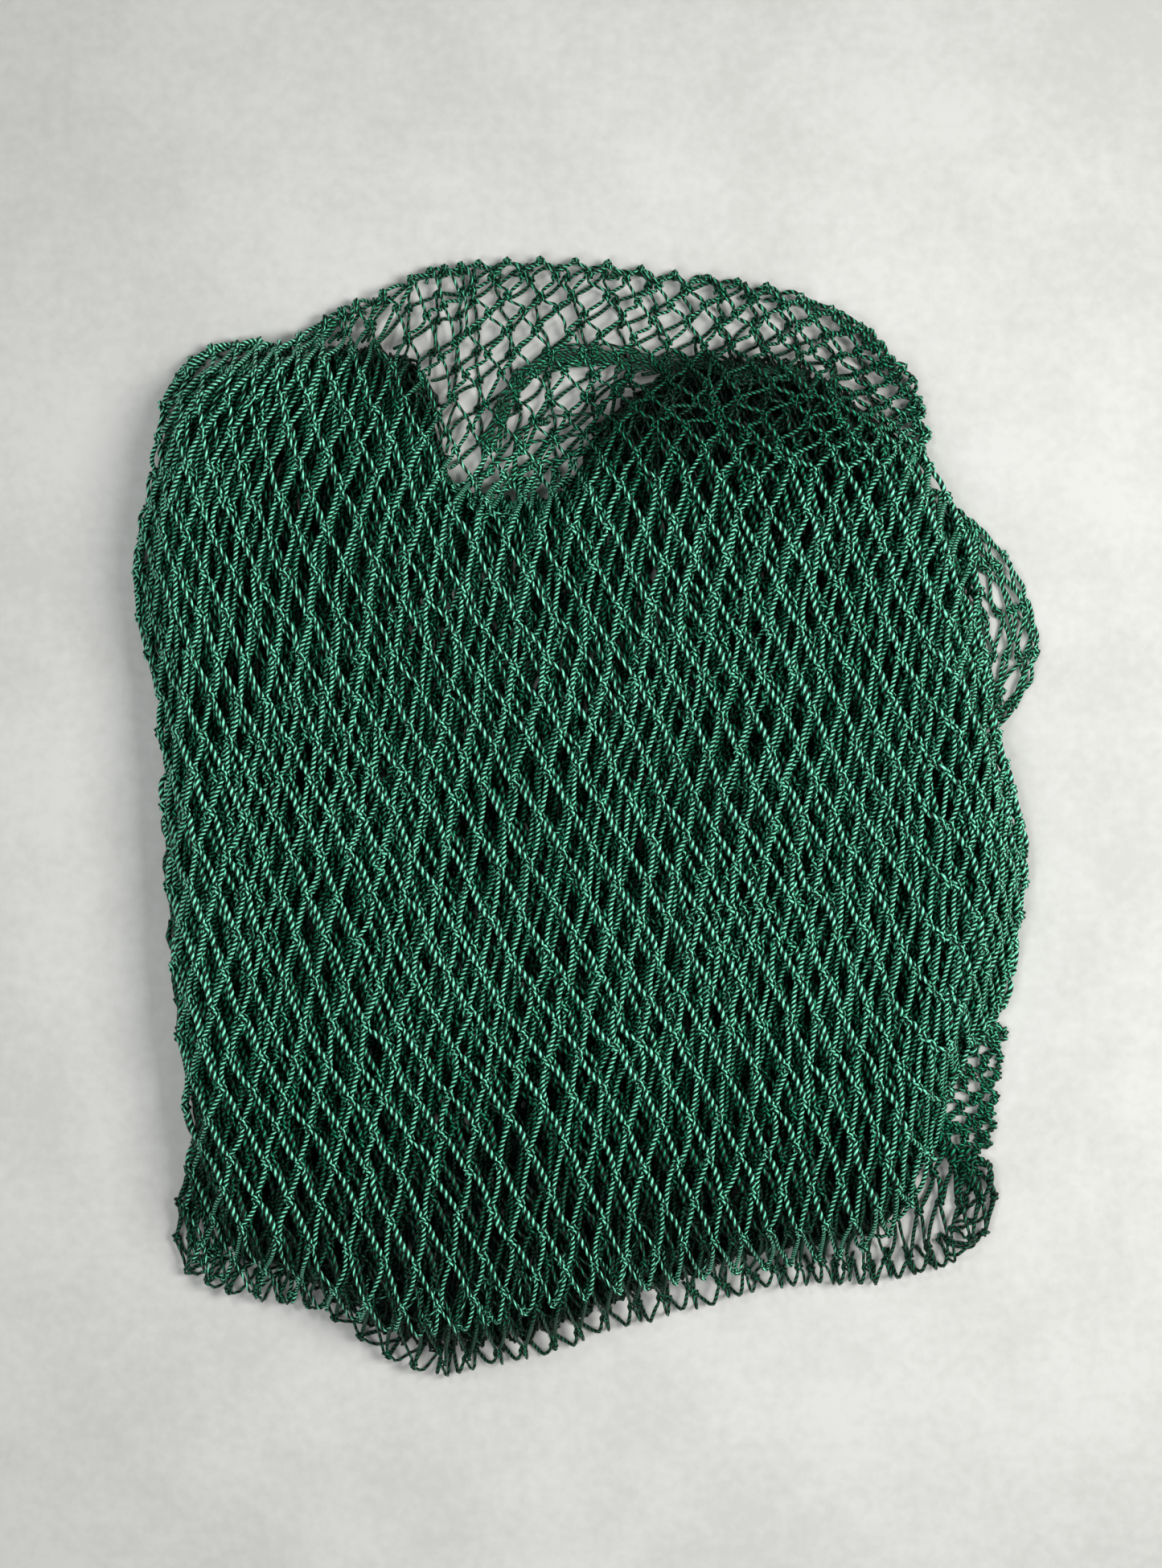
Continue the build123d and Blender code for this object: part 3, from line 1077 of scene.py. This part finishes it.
class Shapes:
    """The outlines of the layers, as shares of the bundle's half sizes."""

    shoulder_and_rim = (
        (0.80, 0.57), (0.755, 0.63), (0.75, 0.70), (0.73, 0.77), (0.67, 0.84), (0.60, 0.89),
        (0.50, 0.93), (0.40, 0.955), (0.18, 0.98), (0.0, 1.0), (-0.20, 1.0), (-0.37, 0.98),
        (-0.47, 0.94), (-0.56, 0.91), (-0.66, 0.855), (-0.75, 0.86), (-0.85, 0.84), (-0.92, 0.78),
        (-0.95, 0.68), (-0.965, 0.60), (-0.99, 0.53), (-1.0, 0.44), (-0.99, 0.37), (-0.96, 0.27),
        (-0.94, 0.17), (-0.93, 0.0), (-0.90, -0.34), (-0.88, -0.57),
    )
    right_side = (
        (0.78, -0.56), (0.80, -0.48), (0.86, -0.40), (0.93, -0.31), (0.965, -0.10),
        (0.955, -0.01), (0.92, 0.10), (0.895, 0.19), (0.875, 0.30), (0.865, 0.40), (0.85, 0.49),
    )
    top = Outline(
        *shoulder_and_rim, (-0.885, -0.70), (-0.87, -0.79), (-0.80, -0.83), (-0.68, -0.86),
        (-0.56, -0.88), (-0.40, -0.91), (-0.25, -0.90), (-0.05, -0.85), (0.18, -0.82),
        (0.47, -0.79), (0.63, -0.76), (0.71, -0.69), (0.75, -0.62), *right_side,
    )
    second = Outline(
        *shoulder_and_rim, (-0.90, -0.64), (-0.92, -0.73), (-0.91, -0.79), (-0.87, -0.83),
        (-0.77, -0.86), (-0.61, -0.885), (-0.53, -0.92), (-0.44, -0.97), (-0.33, -1.0),
        (-0.23, -0.99), (-0.05, -0.955), (0.05, -0.92), (0.18, -0.89), (0.39, -0.845),
        (0.63, -0.835), (0.78, -0.807), (0.845, -0.777), (0.885, -0.735), (0.906, -0.677),
        (0.89, -0.615), (0.85, -0.585), *right_side,
    )
    pile = Outline(
        (-0.66, 0.84), (-0.83, 0.81), (-0.92, 0.72), (-0.95, 0.59), (-0.97, 0.45), (-0.94, 0.25),
        (-0.92, 0.0), (-0.90, -0.31), (-0.86, -0.56), (-0.83, -0.68), (-0.77, -0.77),
        (-0.64, -0.82), (-0.44, -0.92), (-0.28, -0.94), (-0.09, -0.92), (0.13, -0.845),
        (0.39, -0.775), (0.61, -0.745), (0.68, -0.70), (0.73, -0.63), (0.76, -0.54),
        (0.85, -0.36), (0.94, -0.10), (0.90, 0.10),
        (0.85, 0.29), (0.82, 0.44), (0.765, 0.57), (0.70, 0.665), (0.60, 0.75), (0.49, 0.81),
        (0.386, 0.83), (0.25, 0.81), (0.13, 0.775), (0.055, 0.73), (0.01, 0.67), (-0.04, 0.60),
        (-0.16, 0.575), (-0.28, 0.60), (-0.32, 0.68), (-0.34, 0.77), (-0.40, 0.83), (-0.52, 0.85),
    )
    ear = Outline(
        (0.79, 0.55), (0.862, 0.53), (0.905, 0.49), (0.948, 0.445), (0.982, 0.385), (0.995, 0.315),
        (0.982, 0.255), (0.95, 0.205), (0.91, 0.168), (0.86, 0.14), (0.76, 0.14), (0.74, 0.34),
    )
    tuck = Outline(
        (0.80, -0.36), (0.90, -0.37), (0.924, -0.385), (0.906, -0.463), (0.895, -0.57),
        (0.87, -0.60), (0.78, -0.60), (0.74, -0.48),
    )


@dataclass
class Laid:
    """A layer as it came to lie.

    Args:
        layer: The layer.
        points: Its twines, shape (rows, points, 3).
        radius: Radius at each point.
        twist: Share of the tight twist at each point.
        keep: Which points are kept.
        rows: Numbers of its rows.
        kinds: What each point of a row is on.
        past: How far past the start of its turned edge each point was.
        under: Height of the pile under each point, before the layer was laid.
    """

    layer: NetLayer
    points: Points
    radius: Points
    twist: Points
    keep: Points
    rows: Points
    kinds: Points
    past: Points
    under: Points

    def cut(self, band: Points | slice) -> tuple[float, float]:
        """The size of netting that a band of rows takes, laid out flat with its meshes open.

        Args:
            band: Which rows.

        Returns:
            Width and length in metres.
        """
        layer = self.layer
        meshes_across = (np.diff(self.kinds, prepend=-1) != 0).sum() / 4
        meshes = self.keep[band].mean(1) * meshes_across
        height = np.where(self.rows[band] < -1, layer.row_height(True), layer.row_height(False))
        length = height[meshes > 0.5].sum()
        area = (meshes * height).sum() * (layer.weave.mesh_width * layer.opening)
        return area / length * MM, length * MM


class StrainedNet(NetLayer):
    """Netting pulled out along a line, so that its bars lie close beside each other."""

    knot_turn = 0.3

    def __init__(self, line: tuple, spread: float, step: float, **rest: object) -> None:
        """Keeps the line that it is pulled along.

        Args:
            line: Points of the line, in millimetres.
            spread: From one column to the next, across the line.
            step: From one row to the next, along the line.
            rest: What any layer has.
        """
        super().__init__(**rest)
        self.spread, self.step = spread, step
        bends = np.array(line, float)
        ends = np.concatenate([2 * bends[:1] - bends[1:2], bends, 2 * bends[-1:] - bends[-2:-1]])
        share = (np.arange(12) / 12)[:, None, None]
        curve = spline(ends[:-3], ends[1:-2], ends[2:-1], ends[3:], share)
        self.line = np.concatenate([curve.transpose(1, 0, 2).reshape(-1, 2), bends[-1:]])

    def row_height(self, in_flap: bool) -> float:
        """Height of one row, which is pulled straight."""
        return self.step

    def place(self, column: Points, row: Points) -> Points:
        """Where a point of the weave lies.

        Args:
            column: Columns from the line, across it.
            row: Rows along the line from its start.

        Returns:
            Points, with a last axis of two.
        """
        at = row * self.step
        ahead = unit(self.along_line(at + 1.0) - self.along_line(at - 1.0))
        across = np.stack([ahead[..., 1], -ahead[..., 0]], -1)
        flat = self.along_line(at) + across * (column * self.spread)[..., None]
        return flat + stray(flat, self.weave.seed + 11, self.weave.wobble, 18.0)

    def along_line(self, at: Points) -> Points:
        """The places that lie given lengths along the line.

        Args:
            at: The lengths.

        Returns:
            Points, with a last axis of two.
        """
        runs = np.linalg.norm(np.diff(self.line, axis=0), axis=1)
        gone = np.concatenate([[0.0], runs.cumsum()])
        return np.stack([np.interp(at, gone, self.line[:, k]) for k in (0, 1)], -1)

    def lattice(self) -> tuple[Points, Points]:
        """The numbers of the rows and of the columns.

        Returns:
            Both, where rows_up is how many columns lie to each side of the line.
        """
        side = self.weave.rows_up
        return np.arange(0, self.weave.rows_down + 1), np.arange(-side, side + 1)


class Net:
    """The folded net: its layers, laid one on another."""

    def __init__(self) -> None:
        """Starts with the bare floor, and makes the finishes, one for each depth, the deeper ones
        darkened with painted shade.
        """
        self.pile = Pile()
        self.finishes = {depth: TwineFinish().material(depth) for depth in Depth}
        self.below: list[str] = []

    def inner_layers(self) -> list[NetLayer]:
        """Sets out the layers that lie hidden under the top two.

        Returns:
            The layers, from the floor up.
        """
        folds = (
            ("notch_fold_1_2", "left_shoulder_lower", "right_shoulder_lower"),
            ("bottom_fold_2_3",),
            (),
            ("notch_fold_3_4", "bottom_fold_4_5", "left_shoulder_middle", "right_shoulder_middle"),
            (),
            ("notch_fold_5_6", "bottom_fold_6_7"),
            ("left_shoulder_upper", "right_shoulder_upper"),
            ("notch_fold_7_8", "bottom_fold_8_9"),
        )
        drifts = (0.10, -0.05, 0.15, 0.02, -0.08, 0.13, 0.05, 0.34)
        layers = []
        for number, (nodes, drift) in enumerate(zip(folds, drifts), 1):
            weave = Weave(
                mesh_width=4.7 + 0.37 * number % 0.8, rows_down=21 + number % 3, drift=drift,
                seed=number, shift=2.7 * number % 5.5, row_shift=0.37 * number % 1.0, wobble=1.6)
            outline = Shapes.pile.varied(0.4 + 0.5 * (number % 3), number, 0.9)
            layers.append(NetLayer(
                f"net_layer_{number:02d}", outline, Shapes.second, weave,
                (f"panel_{number:02d}", *nodes),
                grade=Grade.MIDDLE if number in (1, 7, 8) else Grade.PLAIN,
                depth=Depth.UPPER if number > 6 else Depth.INNER))
        return layers

    def lay(self, layer: NetLayer, thickness: float, softness: float) -> Laid:
        """Settles a layer on the pile and adds it to the pile.

        Args:
            layer: The layer.
            thickness: How much it lifts what is laid on it.
            softness: Half the width over which its edge falls away.

        Returns:
            The settled layer.
        """
        points, rows, kinds = layer.row_twines()
        radius, twist = layer.twine.dress(kinds, points[..., :2])
        settled, past = layer.settle(points, radius, self.pile)
        keep = past < math.pi * layer.fold + layer.tuck
        under = self.pile.at(settled[..., :2])
        self.pile.lay(layer.outline, thickness, softness)
        return Laid(layer, settled, radius, twist, keep, rows, kinds, past, under)

    def piece(self, laid: Laid, name: str = "", band: Points | slice = slice(None),
              nodes: tuple = (), body: str = RESTING_BODY) -> bpy.types.Object:
        """Makes one piece of a layer and logs its triangles.

        Args:
            laid: The settled layer.
            name: Its name, where it isn't the layer's.
            band: Which of the layer's rows it has.
            nodes: CAD nodes that it replaces, where they aren't all the layer's.
            body: The body that it moves with, or nothing if it is blended.

        Returns:
            The piece.
        """
        layer, name = laid.layer, name or laid.layer.name
        piece = TubeMesh(layer.grade.sides).build(
            name, laid.points[band], laid.radius[band], laid.twist[band], laid.keep[band])
        piece.data.materials.append(self.finishes[layer.depth])
        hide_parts(*(nodes or layer.stands_for))
        laid.cut(band)
        if body:
            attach(piece, body)
        self.below.append(name)
        LOG.info("%s: %d triangles", name, sum(len(p.vertices) - 2 for p in piece.data.polygons))
        return piece

    def build(self) -> None:
        """Lays every layer, from the floor up."""
        slim = Twine(tied=(0.31, 0.75), firm=(0.36, 0.9), thin=(0.33, 0.6), loose=(0.33, 0.6))
        strip = {"guide": Shapes.second, "grade": Grade.FINE, "depth": Depth.SECOND, "fold": 0.6,
                 "twine": slim}
        ear = StrainedNet(
            ((64, 70), (73.5, 57), (80, 46), (82.5, 35), (80, 25), (74, 14)), 2.9, 8.4,
            name="right_ear_net", outline=Shapes.ear, stands_for=("right_ear_loop",), tuck=8.0,
            weave=Weave(rows_down=8, rows_up=4, seed=41, wobble=0.6, bow=0.06), **strip)
        tuck = StrainedNet(
            ((73, -36), (73, -46), (72, -57), (71, -68)), 4.4, 2.3,
            name="lower_right_tuck_net", outline=Shapes.tuck, stands_for=("lower_right_tuck",),
            tuck=7.0, weave=Weave(
                rows_down=14, rows_up=3, seed=43, wobble=0.5, jitter=0.2, mesh_width=7.0), **strip)
        for layer in self.inner_layers():
            self.piece(self.lay(layer, thickness=LAYER * 0.97, softness=5.0))
            extra = {"net_layer_01": tuck, "net_layer_03": ear}.get(layer.name)
            if extra:
                self.piece(self.lay(extra, thickness=LAYER, softness=4.0))
        self.strained_edge()
        self.second_layer()
        self.top_layer()

    def strained_edge(self) -> None:
        """The gathered netting that shows through the flap."""
        strip = {"outline": Shapes.second, "guide": Shapes.second, "grade": Grade.MIDDLE,
                 "depth": Depth.SECOND, "stands_for": ("flap_lower_sheet",)}
        hem = StrainedNet(
            ((-19, 74), (-15, 85), (-6, 91), (10, 91.5), (26, 90), (42, 87)), 0.62, 7.6,
            name="flap_band_net", opening=0.5,
            weave=Weave(rows_down=10, rows_up=3, seed=51, wobble=0.7, bow=0.07),
            twine=Twine(firm=(0.42, 1.0), loose=(0.42, 0.5), tied=(0.34, 0.75)), **strip)
        web = StrainedNet(
            ((-22, 60), (-10, 70), (4, 80), (20, 91)), 3.4, 7.8, name="flap_web_net",
            weave=Weave(rows_down=6, rows_up=2, seed=53, wobble=1.2, bow=0.09),
            twine=Twine(firm=(0.46, 1.0), loose=(0.46, 0.8)), **strip)
        for layer in (hem, web):
            laid = self.lay(layer, thickness=0.0, softness=6.0)
            height = laid.points[..., 2]
            laid.points[..., 2] = np.maximum(height, height * 0.6 + 2.0)
            self.piece(laid)

    def second_layer(self) -> None:
        """The flap's lower sheet, and the layer under the top one."""
        outline = Shapes.second.varied(0.8, 5, 0.5)
        weave = Weave(mesh_width=6.2, rows_up=9, seed=23, flap_drift=0.6, close=0.3)
        sheet = NetLayer(
            "flap_lower_net", outline, Shapes.second, weave, ("flap_lower_sheet",),
            tuck=0.0, grade=Grade.FINE, depth=Depth.SECOND, opening=0.6)
        laid = self.lay(sheet, thickness=0.6, softness=6.0)
        over_notch = laid.under < 4.0
        laid.keep &= (laid.rows < 0)[:, None] & over_notch
        self.piece(laid, band=laid.rows < 0)
        weave = Weave(mesh_width=5.1, rows_down=21, drift=0.05, seed=21, shift=2.0, row_shift=0.4,
                      tangle=2.2)
        layer = NetLayer("second_net", outline, Shapes.second, weave, ("panel_09",),
                         fold=1.4, tuck=5.0, grade=Grade.FINE, depth=Depth.SECOND)
        laid = self.lay(layer, thickness=LAYER, softness=6.0)
        on_shoulders = laid.under > 7.0
        laid.keep &= (laid.rows > -2)[:, None] | on_shoulders
        self.piece(laid, "second_net_upper", laid.rows < 9)
        self.piece(laid, "second_net_lower", laid.rows >= 9)

    def top_layer(self) -> None:
        """The top layer, which bends at the hinge line as the panel lifts."""
        weave = Weave(rows_up=11, drift=0.16, seed=31, wobble=0.7, tangle=2.0)
        layer = NetLayer("top_net", Shapes.top, Shapes.top, weave, ("top_panel",), fold=1.3,
                         tuck=8.0, grade=Grade.FINE, depth=Depth.OUTER)
        laid = self.lay(layer, thickness=LAYER, softness=6.0)
        rows = laid.rows
        laid.keep &= (rows >= -2)[:, None] | (laid.past < math.pi * layer.fold + 1.5)
        self.piece(laid, "top_net_flap", rows < -2, ("flap_upper_sheet", "flap_rim_fold"))
        crease = self.piece(laid, "top_net_crease", (rows >= -2) & (rows < 2), body="")
        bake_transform(crease)
        self.piece(laid, "top_net_upper", (rows >= 2) & (rows < 11), body=LIFTING_BODY)
        self.piece(laid, "top_net_lower", rows >= 11, ("top_panel", "top_panel_hem"), LIFTING_BODY)


def main() -> None:
    """Builds the studio and the net, and logs each piece."""
    logging.basicConfig(level=logging.INFO, format="%(name)s %(message)s", stream=sys.stdout)
    Studio().build()
    Net().build()


if __name__ == "__main__":
    main()
